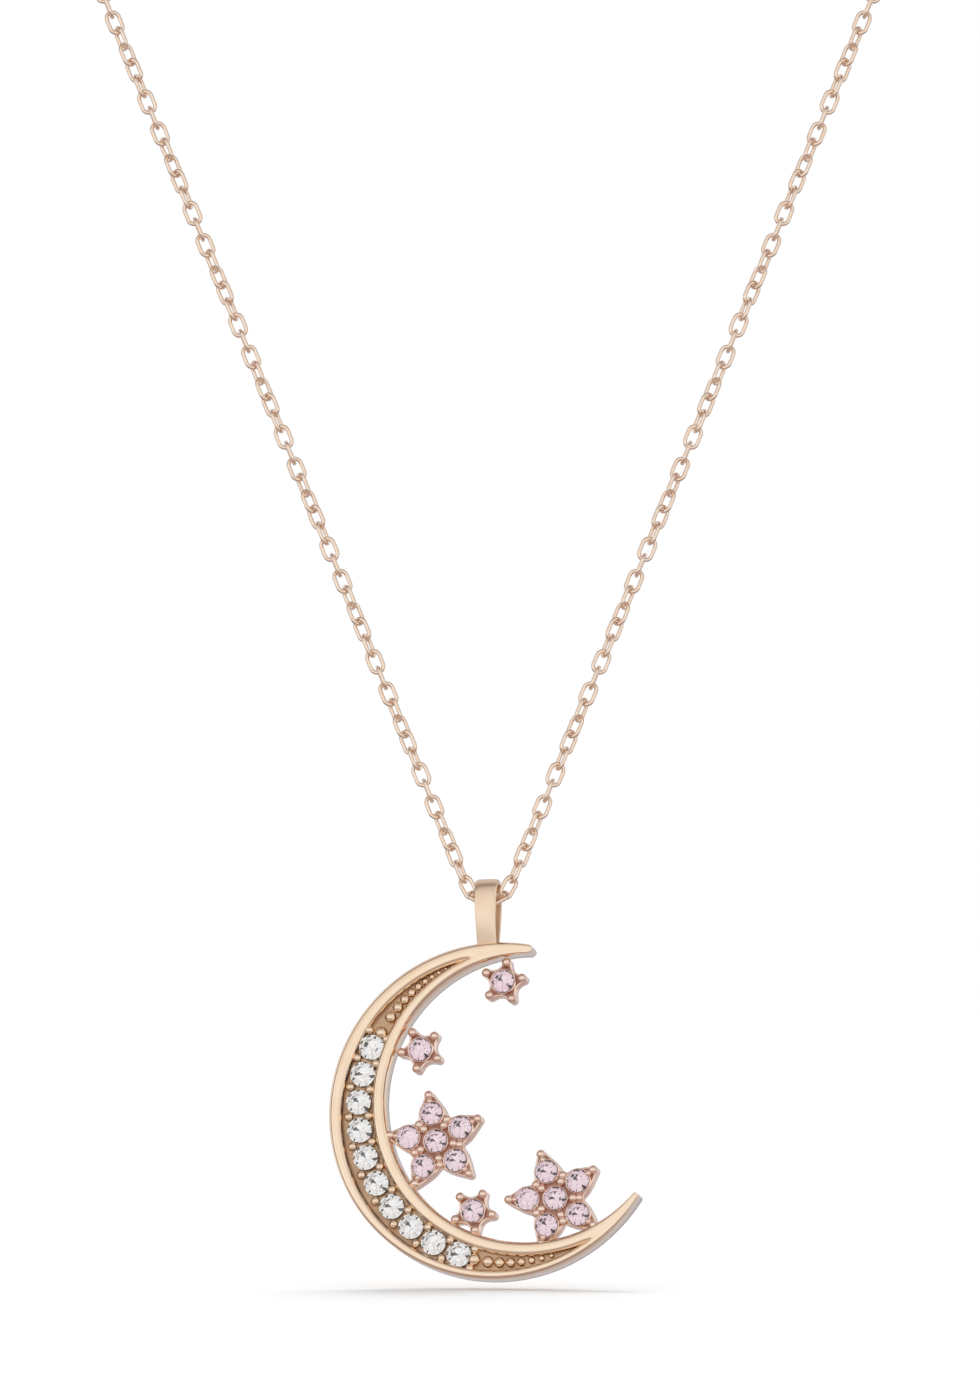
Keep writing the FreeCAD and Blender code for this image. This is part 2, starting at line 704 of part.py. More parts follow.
def star_plate(label, reach, notch, seats, ring):
    """Five pointed plate with a collar round each stone and a seat inside it."""
    body = new_body(label)
    back = "crescent_thickness / 2 - star_recess - star_thickness"
    outline = new_sketch(body, f"{label}_outline", "XZ_Plane", along=back)
    corners = []
    for number in range(5):
        for radius, angle in ((reach, 72 * number), (notch, 72 * number + 36)):
            corners.append((f"{radius} * cos({angle}deg)", f"{radius} * sin({angle}deg)"))
    draw_polygon(outline, corners)
    pad(body, outline, "star_thickness")
    for name, across in (("centre", "0"), ("outer", ring))[:min(seats, 2)]:
        collar = new_sketch(body, f"{label}_{name}_collar", "XZ_Plane", along=f"{back} + star_thickness")
        draw_circle(collar, "outside", across, "0", "pink_diameter / 2 + seat_clearance + collar_wall")
        draw_circle(collar, "inside", across, "0", "pink_diameter / 2 + seat_clearance")
        wall = pad(body, collar, "collar_height")
        seat = new_sketch(body, f"{label}_{name}_seat", "XZ_Plane", along=f"{back} + star_thickness")
        draw_circle(seat, "seat", across, "0", seat_radius("pink_diameter", "star_recess"))
        hole = pocket(body, seat)
        body.Tip = hole
        if name == "outer":
            polar(body, wall, (outline, ["N_Axis"]), "5")
            polar(body, hole, (outline, ["N_Axis"]), "5")
    return body


def star_beads(label, rings):
    """Posts with round heads; rings lists reach, start angle and radius."""
    items = []
    foot = size("star_recess") + size("star_thickness") / 2
    for ring, (reach, angle, radius) in enumerate(rings):
        head = size("table_depth") + value(radius)
        for number in range(5):
            place = polar_point(Vector(0, 0, 0), value(reach), angle + 72 * number)
            name = f"{label}_bead_{ring}_{number}"
            items.append(bead(name, place.x, place.y, radius, head))
            items.append(post(f"{name}_post", place.x, place.y, radius, head, foot))
    return items


def build_star(label, kind, x, z, angle):
    """One star setting, trimmed where it is soldered to the inner rail."""
    reach, notch = f"{kind}_star_reach", f"{kind}_star_notch"
    ring = "large_star_ring"
    rings = [(f"{reach} - tip_bead_inset", 0, "tip_bead_radius")]
    seats = 1
    if kind == "large":
        rings.append((f"{notch} - notch_bead_inset", 36, "notch_bead_radius"))
        rings.append(("inner_bead_reach", 36, "notch_bead_radius"))
        rings.append(("claw_bead_reach", 0, "claw_bead_radius"))
        seats = 6
    plate = star_plate(f"{label}_plate", reach, notch, seats, ring)
    star = combine("MultiFuse", f"{label}_star", [plate] + star_beads(label, rings))
    star.Placement = Placement(Vector(x, 0, z), Rotation(FRONT, angle))
    rail = doc.addObject("Part::Cylinder", f"{label}_rail")
    set_size(rail, "Radius", "hollow_radius")
    set_size(rail, "Height", "4 * crescent_thickness")
    rail.Placement = Placement(Vector(size("hollow_x"), 2 * size("crescent_thickness"), size("hollow_z")),
                               Rotation(UP, FRONT))
    trimmed = combine("MultiCommon", label, [star, rail])
    trimmed.Placement = pendant_place
    keep(label, trimmed)


# -------------------------------------------------------- pendant: the stones

def cut_facets(body, name, count, points, turn="0"):
    """Cut a wedge beyond a facet and repeat it round the stone."""
    sketch = new_sketch(body, name, "XZ_Plane")
    if turn != "0":
        sketch.AttachmentOffset = Placement(Vector(), Rotation(Vector(0, 1, 0), float(turn)))
    draw_polygon(sketch, points)
    wedge = pocket(body, sketch, "2 * white_diameter", midplane=True)
    polar(body, wedge, (origin_item(body, "Z_Axis"), [""]), count)


def stone_master(label, diameter):
    """Round brilliant with its table up, its girdle at Z = 0."""
    body = new_body(label)
    girdle = new_sketch(body, f"{label}_girdle", "XY_Plane", along=f"-pavilion_depth * {diameter}")
    draw_circle(girdle, "girdle", "0", "0", f"{diameter} / 2")
    pad(body, girdle, f"(crown_height + pavilion_depth) * {diameter}")
    far = diameter

    def facet(name, count, rise, slope, side, turn="0"):
        """Facet through the girdle's edge, raised by a share, falling inwards at a slope."""
        inner = f"({side} * ({rise} + {slope} / 2) * {diameter})"
        outer = f"({side} * ({rise} - {slope} / 2) * {diameter})"
        top = f"({side} * {diameter})"
        cut_facets(body, f"{label}_{name}", count,
                   (("0", inner), (far, outer), (far, top), ("0", top)), turn)

    facet("crown_main", "8", "girdle_half", "crown_main_slope", 1)
    facet("crown_star", "8", "star_facet_rise", "crown_star_slope", 1, "22.5")
    facet("crown_half", "16", "girdle_half", "crown_half_slope", 1, "11.25")
    facet("pavilion_main", "8", "girdle_half", "pavilion_main_slope", -1)
    facet("pavilion_half", "16", "girdle_half", "pavilion_half_slope", -1, "11.25")
    return body


def build_stone(label, master, x, z, diameter, angle):
    """One stone in its seat, with its table towards the front."""
    stone = doc.addObject("Part::Feature", label)
    stone.Shape = master.Shape.copy()
    front = size("crescent_thickness") / 2 - size("table_depth") - size("crown_height") * size(diameter)
    local = Placement(Vector(x, -front, z), Rotation(UP, FRONT)).multiply(Placement(Vector(), Rotation(UP, angle)))
    stone.Placement = pendant_place.multiply(local)
    keep(label, stone)


STARS = (
    # name, kind, x, z, angle of one point
    ("small_star_top", "small", 0.84, -4.18, 8),
    ("small_star_left", "small", -3.36, -7.50, 43),
    ("small_star_bottom", "small", -0.69, -15.72, 60),
    ("large_star_left", "large", -2.57, -12.15, 27),
    ("large_star_right", "large", 3.48, -15.20, 36),
)


def build_stones():
    """White stones of the crescent, pink stones of the stars."""
    white = stone_master("white_stone_pattern", "white_diameter")
    pink = stone_master("pink_stone_pattern", "pink_diameter")
    doc.recompute()
    for number, angle in enumerate(stone_angles(), start=1):
        place = polar_point(centre_of("white_arc"), size("white_arc_radius"), angle)
        build_stone(f"white_stone_{number:02d}", white, place.x, place.y, "white_diameter",
                    size("white_turn_step") * number)
    for star, kind, x, z, angle in STARS:
        build_stone(f"{star}_stone_centre", pink, x, z, "pink_diameter", angle)
        if kind == "small":
            continue
        for number in range(5):
            place = polar_point(Vector(x, z, 0), size("large_star_ring"), angle + 72 * number)
            build_stone(f"{star}_stone_{number + 1}", pink, place.x, place.y, "pink_diameter",
                        size("pink_turn_step") * number)


# ----------------------------------------------------------- pendant: the bail

def draw_slot(sketch, name, radius, top, bottom):
    """Upright slot with a round top and a round or cut bottom."""
    high, low = f"({top}) - ({radius})", f"({bottom})"
    half = value(radius)
    top_centre = Vector(0, value(high), 0)
    arc = draw_arc(sketch, name, radius, top_centre, 0, math.pi, ("0", high))
    corners = [Vector(-half, value(low), 0), Vector(half, value(low), 0)]
    left = sketch.addGeometry(Part.LineSegment(Vector(-half, value(high), 0), corners[0]))
    base = sketch.addGeometry(Part.LineSegment(corners[0], corners[1]))
    right = sketch.addGeometry(Part.LineSegment(corners[1], Vector(half, value(high), 0)))
    sketch.addConstraint(Sketcher.Constraint("Tangent", arc, 2, left, 1))
    sketch.addConstraint(Sketcher.Constraint("Coincident", left, 2, base, 1))
    sketch.addConstraint(Sketcher.Constraint("Coincident", base, 2, right, 1))
    sketch.addConstraint(Sketcher.Constraint("Tangent", right, 2, arc, 1))
    sketch.addConstraint(Sketcher.Constraint("Horizontal", base))
    constrain(sketch, Sketcher.Constraint("DistanceY", -1, 1, base, 1, value(low)), f"{name}_foot", low)


def build_bail():
    """Strip loop that the chain runs through, soldered on top of the crescent."""
    body = new_body("bail")
    crescent_top = "crescent_z + crescent_radius"
    loop = new_sketch(body, "bail_loop", "YZ_Plane", along="bail_x")
    draw_slot(loop, "loop", "bail_depth / 2", "bail_top", f"{crescent_top} - bail_sink")
    pad(body, loop, "bail_width", midplane=True)
    opening = new_sketch(body, "bail_opening", "YZ_Plane", along="bail_x")
    draw_slot(opening, "opening", "bail_depth / 2 - bail_strip", "bail_top - bail_top_strip",
              f"{crescent_top} + bail_web")
    pocket(body, opening, "2 * bail_width", midplane=True)
    foot = new_sketch(body, "bail_foot", "XZ_Plane")
    draw_circle(foot, "foot", "crescent_x", "crescent_z", "crescent_radius")
    body.Tip = pocket(body, foot, "2 * bail_depth", midplane=True)
    body.Placement = pendant_place
    keep("bail", body)


# ------------------------------------------------------------------- the clasp

def torus(name, radius, tube, start="0", angle="360"):
    """Ring or part of a ring in the XY plane, from a start angle."""
    ring = doc.addObject("Part::Torus", name)
    set_size(ring, "Radius1", radius)
    set_size(ring, "Radius2", tube)
    set_size(ring, "Angle3", angle)
    ring.Placement = Placement(Vector(), Rotation(UP, value(start)))
    return ring


def build_clasp():
    """Spring ring: hollow ring with an eye, sliding bolt with a stud, spring."""
    tube_start = "clasp_gap_start + clasp_gap_angle"
    tube_angle = "360 - clasp_gap_angle"
    tube = torus("clasp_tube", "clasp_radius", "clasp_tube_radius", tube_start, tube_angle)
    wall = "clasp_end_wall"
    # the bore leaves a closed wall between the bolt's socket and the spring
    socket_angle = "2 * bolt_entry"
    bore = torus("clasp_bore", "clasp_radius", "clasp_bore_radius", tube_start,
                 f"{tube_angle} - {socket_angle} - {wall}")
    socket = torus("clasp_socket", "clasp_radius", "clasp_bore_radius",
                   f"clasp_gap_start - {socket_angle}", f"{socket_angle}")
    slot_start = f"{tube_start} + thumb_angle - slot_margin"
    slot = doc.addObject("Part::Cylinder", "clasp_slot_disc")
    set_size(slot, "Radius", "clasp_radius + 2 * clasp_tube_radius")
    set_size(slot, "Height", "2 * thumb_radius + 4 * bolt_clearance")
    set_size(slot, "Angle", "bolt_travel + 2 * slot_margin")
    slot.Placement = Placement(Vector(0, 0, -value("thumb_radius + 2 * bolt_clearance")),
                               Rotation(UP, value(slot_start)))
    core = doc.addObject("Part::Cylinder", "clasp_slot_core")
    set_size(core, "Radius", "clasp_radius")
    set_size(core, "Height", "4 * clasp_tube_radius")
    core.Placement = Placement(Vector(0, 0, -2 * size("clasp_tube_radius")), Rotation())
    slot_cut = combine("Cut", "clasp_slot", (slot, core))
    eye = torus("clasp_eye", "clasp_eye_radius", "clasp_eye_wire")
    eye.Placement = Placement(Vector(-size("clasp_eye_offset"), 0, 0), Rotation())
    whole = combine("MultiFuse", "clasp_blank", [tube, eye])
    openings = combine("MultiFuse", "clasp_openings", [bore, socket, slot_cut])
    ring = combine("Cut", "clasp_ring", (whole, openings))
    ring.Placement = clasp_place
    keep("clasp_ring", ring)

    bolt_radius = "clasp_bore_radius - bolt_clearance"
    rod = torus("bolt_rod", "clasp_radius", bolt_radius, "clasp_gap_start - bolt_entry",
                "clasp_gap_angle + bolt_entry + bolt_tail")
    stud = doc.addObject("Part::Cylinder", "bolt_stud")
    set_size(stud, "Radius", "thumb_radius")
    set_size(stud, "Height", "clasp_tube_radius + thumb_height - clasp_bore_radius")
    thumb = Rotation(UP, value(f"{tube_start} + thumb_angle"))
    outward = thumb.multVec(RIGHT)
    stud.Placement = Placement(outward * value("clasp_radius + clasp_bore_radius / 2"), Rotation(UP, outward))
    bolt = combine("MultiFuse", "clasp_bolt", [rod, stud])
    bolt.Placement = clasp_place
    keep("clasp_bolt", bolt)

    spring = doc.addObject("Part::Feature", "clasp_spring")
    spring.Shape = spring_shape()
    spring.Placement = clasp_place
    keep("clasp_spring", spring)


POINTS_PER_TURN = 10
# the wire's section is drawn in arcs, so that a mesh of it keeps its volume
ARCS_PER_WIRE = 16


def spring_shape():
    """Coil that follows the ring, between the bolt's tail and the closed end."""
    start = math.radians(value("clasp_gap_start + clasp_gap_angle + bolt_tail + spring_end_gap"))
    end = math.radians(value("clasp_gap_start + 360 - 2 * bolt_entry - clasp_end_wall - spring_end_gap"))
    ring, coil = size("clasp_radius"), size("spring_radius")
    turns = size("spring_turns")
    steps = round(turns * POINTS_PER_TURN)
    points = []
    for number in range(steps + 1):
        share = number / steps
        angle = start + (end - start) * share
        roll = 2 * math.pi * turns * share
        reach = ring + coil * math.cos(roll)
        points.append(Vector(reach * math.cos(angle), reach * math.sin(angle), coil * math.sin(roll)))
    curve = Part.BSplineCurve()
    curve.interpolate(points)
    path = Part.Wire([curve.toShape()])
    tangent = curve.tangent(curve.FirstParameter)[0]
    step = 360 / ARCS_PER_WIRE
    arcs = [Part.makeCircle(size("spring_wire"), points[0], tangent, number * step, (number + 1) * step)
            for number in range(ARCS_PER_WIRE)]
    profile = Part.Wire(arcs)
    return path.makePipeShell([profile], True, True)


def build_rings():
    """Jump ring on the clasp's eye and end ring on the other side."""
    for name, radius, wire, place in (("jump_ring", "jump_ring_radius", "jump_wire_radius", jump_place),
                                      ("end_ring", "end_ring_radius", "end_wire_radius", end_place)):
        ring = torus(name, radius, wire)
        ring.Placement = place
        keep(name, ring)


# --------------------------------------------------------------------- placing

lean_back = Rotation(RIGHT, -size("lean"))
turned = Rotation(UP, -size("pendant_turn"))
reference = route.vertex + lean_back.multVec(UP) * size("reference_drop")
pendant_place = Placement(reference, lean_back.multiply(turned))

# the clasp lies flat against the nape; its rings stand across it
nape_right = route.loop_start + route.loop.point(route.loop.length)
loop_normal = route.loop.axis
if loop_normal.z < 0:
    loop_normal = -loop_normal
half_length = clasp_half_length()
play = size("fine_play") / 2
flat_turn = Rotation(RIGHT, loop_normal, RIGHT.cross(loop_normal), "XYZ")
cross_turn = Rotation(RIGHT, route.back, RIGHT.cross(route.back), "XYZ")
nape = Vector(0, nape_right.y, nape_right.z)
jump_reach = size("jump_ring_radius") - size("jump_wire_radius") - play
end_reach = size("end_ring_radius") - size("end_wire_radius") - play
clasp_x = half_length - 2 * end_reach - (size("clasp_radius") - size("clasp_tube_radius") - play)
jump_place = Placement(nape + RIGHT * (jump_reach - half_length), cross_turn)
end_place = Placement(nape + RIGHT * (half_length - end_reach), cross_turn)
clasp_place = Placement(nape + RIGHT * clasp_x, flat_turn)


# ------------------------------------------------------------------- make it

build_chain()
build_crescent()
for star_name, star_kind, star_x, star_z, star_angle in STARS:
    build_star(star_name, star_kind, star_x, star_z, star_angle)
build_stones()
build_bail()
build_clasp()
build_rings()
doc.recompute()

for item in doc.Objects:
    if "Invalid" in item.State or "Error" in item.State:
        raise RuntimeError(f"{item.Label} failed: {item.State}")
os.makedirs("parts", exist_ok=True)
for label, item in pieces.items():
    shape = item.Shape
    if shape.isNull() or not shape.isValid():
        raise RuntimeError(f"{label} has no valid shape")
    shape.exportStep(f"parts/{label}.step")
    print(f"{label}: {len(shape.Solids)} solids, {shape.Volume:.4f} mm3")
print(f"loop radius {route.loop_radius:.2f}, straight {route.straight:.2f}, vertex {route.vertex}")
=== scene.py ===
"""Looks of the crescent and stars necklace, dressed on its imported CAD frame."""

import json
import math

import bmesh
import bpy
from mathutils import Matrix, Vector


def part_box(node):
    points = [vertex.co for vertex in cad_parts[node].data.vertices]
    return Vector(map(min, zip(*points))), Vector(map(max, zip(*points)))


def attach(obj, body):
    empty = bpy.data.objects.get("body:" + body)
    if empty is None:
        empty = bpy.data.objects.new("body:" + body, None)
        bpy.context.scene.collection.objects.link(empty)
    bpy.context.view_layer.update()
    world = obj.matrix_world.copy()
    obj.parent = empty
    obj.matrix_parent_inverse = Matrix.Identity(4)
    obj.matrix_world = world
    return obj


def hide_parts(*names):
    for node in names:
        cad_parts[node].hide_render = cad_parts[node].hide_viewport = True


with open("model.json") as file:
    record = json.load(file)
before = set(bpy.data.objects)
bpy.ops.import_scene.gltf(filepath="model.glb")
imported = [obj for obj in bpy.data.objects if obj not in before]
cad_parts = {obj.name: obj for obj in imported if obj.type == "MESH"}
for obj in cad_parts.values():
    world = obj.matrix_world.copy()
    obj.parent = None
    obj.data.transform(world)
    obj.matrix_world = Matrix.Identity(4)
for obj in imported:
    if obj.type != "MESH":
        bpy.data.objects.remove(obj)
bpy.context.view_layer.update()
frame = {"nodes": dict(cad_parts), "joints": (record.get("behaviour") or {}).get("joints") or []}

MM = 0.001

# --------------------------------------------------- place of the pendant
# The CAD solids lean the pendant back and turn it to one side about the point
# where it hangs. Its own pieces are drawn square on and placed by this matrix.

LEAN = math.radians(10.5)
TURN = math.radians(10.5)
JOINT_PLACES = {joint["name"]: Vector(joint["pos_m"]) for joint in frame["joints"]}
HANGING_POINT = JOINT_PLACES["pendant_turn"]
PENDANT_MATRIX = (Matrix.Translation(HANGING_POINT)
                  @ Matrix.Rotation(-LEAN, 4, "X")
                  @ Matrix.Rotation(-TURN, 4, "Z"))
LOWEST = min(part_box("crescent_frame")[0].z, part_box("large_star_right")[0].z)


# ------------------------------------------------------------- node helpers

class Shader:
    """Small helper that adds and links the nodes of one material or world."""

    def __init__(self, owner):
        owner.use_nodes = True
        self.tree = owner.node_tree
        self.tree.nodes.clear()

    def node(self, kind, **settings):
        node = self.tree.nodes.new(kind)
        for name, value in settings.items():
            setattr(node, name, value)
        return node

    def put(self, socket, value):
        """Link an output, or set a plain value."""
        if isinstance(value, bpy.types.NodeSocket):
            self.tree.links.new(value, socket)
        else:
            socket.default_value = value

    def math(self, operation, *values):
        node = self.node("ShaderNodeMath", operation=operation)
        for socket, value in zip(node.inputs, values):
            self.put(socket, value)
        return node.outputs[0]

    def mix(self, factor, first, second):
        node = self.node("ShaderNodeMix", data_type="RGBA")
        self.put(node.inputs["Factor"], factor)
        self.put(node.inputs["A"], first)
        self.put(node.inputs["B"], second)
        return node.outputs["Result"]

    def ramp(self, factor, low, high):
        """Smooth step from 0 at low to 1 at high."""
        node = self.node("ShaderNodeMapRange", interpolation_type="SMOOTHSTEP")
        self.put(node.inputs["Value"], factor)
        node.inputs["From Min"].default_value = low
        node.inputs["From Max"].default_value = high
        return node.outputs[0]

    def noise(self, scale, detail=2.0, vector=None):
        node = self.node("ShaderNodeTexNoise")
        node.inputs["Scale"].default_value = scale
        node.inputs["Detail"].default_value = detail
        if vector is not None:
            self.put(node.inputs["Vector"], vector)
        return node.outputs["Fac"]

    def place(self):
        """Coordinates that stay with the piece when it moves."""
        return self.node("ShaderNodeTexCoord").outputs["Object"]

    def emission(self, color):
        glow = self.node("ShaderNodeEmission")
        self.put(glow.inputs["Color"], color)
        return glow.outputs[0]

    def surface(self, closure, kind="ShaderNodeOutputMaterial"):
        """Make a shader what the material or world shows."""
        self.put(self.node(kind).inputs["Surface"], closure)


def rgb(red, green, blue):
    return (red, green, blue, 1.0)


# ----------------------------------------------------------------- materials

WHITE = rgb(1, 1, 1)
GOLD = rgb(0.945, 0.765, 0.585)
GOLD_WARM = rgb(0.935, 0.725, 0.53)
ROSE = rgb(0.95, 0.75, 0.64)
ROSE_WARM = rgb(0.92, 0.68, 0.57)
CHAIN = rgb(0.955, 0.80, 0.66)
CHAIN_WARM = rgb(0.93, 0.745, 0.60)
# Painted shade: the two dark browns below stand in for the shade in the crescent's sunk channel and seat
# holes.
PAINTED_SHADE_BROWN = rgb(0.57, 0.38, 0.24)
PAINTED_SHADE_BROWN_DARK = rgb(0.42, 0.27, 0.165)
# Painted shade: the two dark rose browns below stand in for the shade on the stars' sunk plate fronts and
# in their seat holes, between the collars and grains.
PAINTED_SHADE_ROSE = rgb(0.42, 0.22, 0.17)
PAINTED_SHADE_ROSE_DARK = rgb(0.28, 0.14, 0.11)
COLOURLESS = rgb(0.98, 0.975, 0.97)
PINK = rgb(0.93, 0.66, 0.76)


def polished_gold(name, roughness, first=GOLD, second=GOLD_WARM):
    """Rose gold plate with faint hand polish, in two close tones."""
    cloud_scale, grain_scale = 900, 14000
    bump_strength, bump_height = 0.06, 0.01 * MM
    material = bpy.data.materials.new(name)
    shader = Shader(material)
    place = shader.place()
    metal = shader.node("ShaderNodeBsdfPrincipled")
    metal.inputs["Metallic"].default_value = 1.0
    cloud = shader.noise(cloud_scale, 3, place)
    grain = shader.noise(grain_scale, 2, place)
    shader.put(metal.inputs["Base Color"], shader.mix(shader.ramp(cloud, 0.35, 0.75), first, second))
    rough = shader.math("MULTIPLY_ADD", grain, roughness * 0.5, roughness * 0.75)
    shader.put(metal.inputs["Roughness"], rough)
    bump = shader.node("ShaderNodeBump")
    bump.inputs["Strength"].default_value = bump_strength
    bump.inputs["Distance"].default_value = bump_height
    shader.put(bump.inputs["Height"], grain)
    shader.put(metal.inputs["Normal"], bump.outputs[0])
    shader.surface(metal.outputs[0])
    return material


def cut_stone(name, tint, index):
    """Clear cut stone with a faint uneven tint."""
    cloud_scale, haze = 1500, 0.01
    material = bpy.data.materials.new(name)
    shader = Shader(material)
    glass = shader.node("ShaderNodeBsdfPrincipled")
    glass.inputs["Transmission Weight"].default_value = 1.0
    glass.inputs["IOR"].default_value = index
    cloud = shader.noise(cloud_scale, 1, shader.place())
    paler = rgb(*(0.5 * (1 + part) for part in tint[:3]))
    shader.put(glass.inputs["Base Color"], shader.mix(cloud, tint, paler))
    shader.put(glass.inputs["Roughness"], shader.math("MULTIPLY", cloud, haze))
    shader.surface(glass.outputs[0])
    return material


def make_materials():
    """Every finish by name."""
    return {
        "crescent": polished_gold("crescent_gold", 0.10),
        # Painted shade: the channel finish is dark brown for the shade in the sunk channel; its higher
        # roughness is the metal's own duller finish.
        "channel": polished_gold("channel_gold", 0.30, PAINTED_SHADE_BROWN, PAINTED_SHADE_BROWN_DARK),
        "star": polished_gold("star_gold", 0.10, ROSE, ROSE_WARM),
        # Painted shade: the star plate's sunk front is dark red-brown for the shade between the collars and
        # grains.
        "star_floor_painted_shade": polished_gold("star_floor_painted_shade_gold", 0.30, PAINTED_SHADE_ROSE, PAINTED_SHADE_ROSE_DARK),
        "bail": polished_gold("bail_gold", 0.32),
        "chain": polished_gold("chain_gold", 0.12, CHAIN, CHAIN_WARM),
        "clasp": polished_gold("clasp_gold", 0.14),
        "spring": polished_gold("spring_metal", 0.25),
        "white": cut_stone("white_stone_glass", COLOURLESS, 2.15),
        "pink": cut_stone("pink_stone_glass", PINK, 2.0),
    }


def finish_of(name):
    """Which finish a CAD node has."""
    if name.startswith("white_stone"):
        return "white"
    if "_stone_" in name:
        return "pink"
    if "chain" in name or name == "bail_links":
        return "chain"
    if name == "clasp_spring":
        return "spring"
    if name in ("clasp_ring", "clasp_bolt", "jump_ring", "end_ring"):
        return "clasp"
    return "star" if "star" in name else "crescent"


def dress_frame(finishes):
    """Give every CAD node its finish."""
    for name, item in frame["nodes"].items():
        for slot in item.material_slots:
            slot.material = finishes[finish_of(name)]


# --------------------------------------------------------------- mesh helpers

SMOOTH_ANGLE = math.radians(38)
BEAD_SEGMENTS = 20
SEAT_SEGMENTS = 32
COLLAR_SEGMENTS = 36


def circle_places(x, z, radius, segments):
    """Places on a circle that faces along Y."""
    places = []
    for number in range(segments):
        turn = 2 * math.pi * number / segments
        places.append((x + radius * math.cos(turn), z + radius * math.sin(turn)))
    return places


class Shape:
    """Points in millimetres in the pendant's own frame: X right, Y back, Z up."""

    def __init__(self):
        self.points = []
        self.faces = []
        self.accents = []

    def ring(self, points):
        """Add a loop of points and return their numbers."""
        start = len(self.points)
        self.points.extend(Vector(point) for point in points)
        return list(range(start, len(self.points)))

    def face(self, corners, accent=False):
        self.faces.append(tuple(corners))
        self.accents.append(int(accent))

    def join(self, first, second, accents=()):
        """Band of faces between two loops; accents number its faces in the second finish."""
        count = len(first)
        for number in range(count):
            after = (number + 1) % count
            self.face((first[number], first[after], second[after], second[number]), number in accents)

    def loft(self, loops, closed=False, accents=(), front_accent=False):
        """Skin over loops of points, with flat ends unless it closes on itself."""
        rings = [self.ring(loop) for loop in loops]
        for first, second in zip(rings, rings[1:]):
            self.join(first, second, accents)
        if closed:
            self.join(rings[-1], rings[0], accents)
        else:
            self.face(reversed(rings[0]))
            self.face(rings[-1], front_accent)

    def lathe(self, x, z, profile, segments, closed=False):
        """Turned form round an axis along Y; profile is a list of radius and depth."""
        loops = []
        for radius, depth in profile:
            loops.append([(across, depth, up) for across, up in circle_places(x, z, radius, segments)])
        self.loft(loops, closed)

    def build(self, name, materials):
        """Blender object in the frame of the CAD, shaded smooth up to an angle."""
        mesh = bpy.data.meshes.new(name)
        mesh.from_pydata([PENDANT_MATRIX @ (point * MM) for point in self.points], [], self.faces)
        mesh.polygons.foreach_set("material_index", self.accents)
        work = bmesh.new()
        work.from_mesh(mesh)
        bmesh.ops.recalc_face_normals(work, faces=work.faces)
        work.to_mesh(mesh)
        work.free()
        mesh.shade_smooth()
        mesh.set_sharp_from_angle(angle=SMOOTH_ANGLE)
        for material in materials:
            mesh.materials.append(material)
        item = bpy.data.objects.new(name, mesh)
        bpy.context.scene.collection.objects.link(item)
        return item


def cut_away(item, cutter):
    """Subtract one object from another for good."""
    modifier = item.modifiers.new("holes", "BOOLEAN")
    modifier.operation = "DIFFERENCE"
    modifier.solver = "EXACT"
    modifier.object = cutter
    graph = bpy.context.evaluated_depsgraph_get()
    mesh = bpy.data.meshes.new_from_object(item.evaluated_get(graph))
    item.modifiers.clear()
    item.data = mesh
    mesh.set_sharp_from_angle(angle=SMOOTH_ANGLE)
    bpy.data.objects.remove(cutter)


def bead_profile(radius, top, foot):
    """Post with a round head; top and foot are depths, front is negative."""
    post, neck, crown = 0.9 * radius, top + radius * 1.45, 0.04 * radius
    profile = [(post, foot), (post, neck)]
    for degrees in range(-20, 90, 15):
        turn = math.radians(degrees)
        profile.append((radius * math.cos(turn), top + radius * (1 - math.sin(turn))))
    return profile + [(crown, top)]


def polar_place(centre, reach, degrees):
    """Place at a distance and a direction from a centre."""
    turn = math.radians(degrees)
    return centre[0] + reach * math.cos(turn), centre[1] + reach * math.sin(turn)


# ------------------------------------------------------------------- crescent
# Millimetres in the pendant's frame, as the CAD solids have them. Circles are
# given as their centre and radius.

FRONT = -0.75
BACK = 0.75
OUTER = ((0.51, -10.70), 8.49)
HOLLOW = ((2.13, -10.10), 7.28)
CHANNEL_OUTER = ((0.60, -10.83), 7.93)
CHANNEL_INNER = ((2.05, -10.21), 7.86)
CHANNEL_DEPTH = 0.48
WHITE_ARC = ((1.40, -10.51), 7.90)
WHITE_COUNT = 10
WHITE_FIRST, WHITE_LAST = 156.2, 249.2
WHITE_ANGLES = [WHITE_FIRST + (WHITE_LAST - WHITE_FIRST) * number / (WHITE_COUNT - 1)
                for number in range(WHITE_COUNT)]

RAIL_EDGE_DROP = 0.20
RAIL_DOME_POWER = 3.6
BACK_ROUNDING = 0.12
# The channel has its full depth where it is wider than CHANNEL_OPENS. Where its
# walls have met, a groove of the width CLOSED_GAP stays between the rails until
# they overlap by GROOVE_FADES.
CHANNEL_OPENS = 0.08
CLOSED_GAP = 0.004
GROOVE_FADES = 0.16
# Points of a section run from the outer back edge over the front to the inner
# one. The channel's faces are its outer wall, its floor and its inner wall.
RAIL_STEPS = 12
BACK_POINTS = 3
FIRST_CHANNEL_FACE = BACK_POINTS + RAIL_STEPS
CHANNEL_FACES = range(FIRST_CHANNEL_FACE, FIRST_CHANNEL_FACE + 3)


def ray_reach(circle, angle):
    """Distance from the hollow's centre to a circle, along a direction."""
    (x, z), radius = circle
    offset_x, offset_z = x - HOLLOW[0][0], z - HOLLOW[0][1]
    along = offset_x * math.cos(angle) + offset_z * math.sin(angle)
    inside = along ** 2 - offset_x ** 2 - offset_z ** 2 + radius ** 2
    return along + math.sqrt(inside)


def clamped(share):
    """Share held between 0 and 1."""
    return min(max(share, 0.0), 1.0)


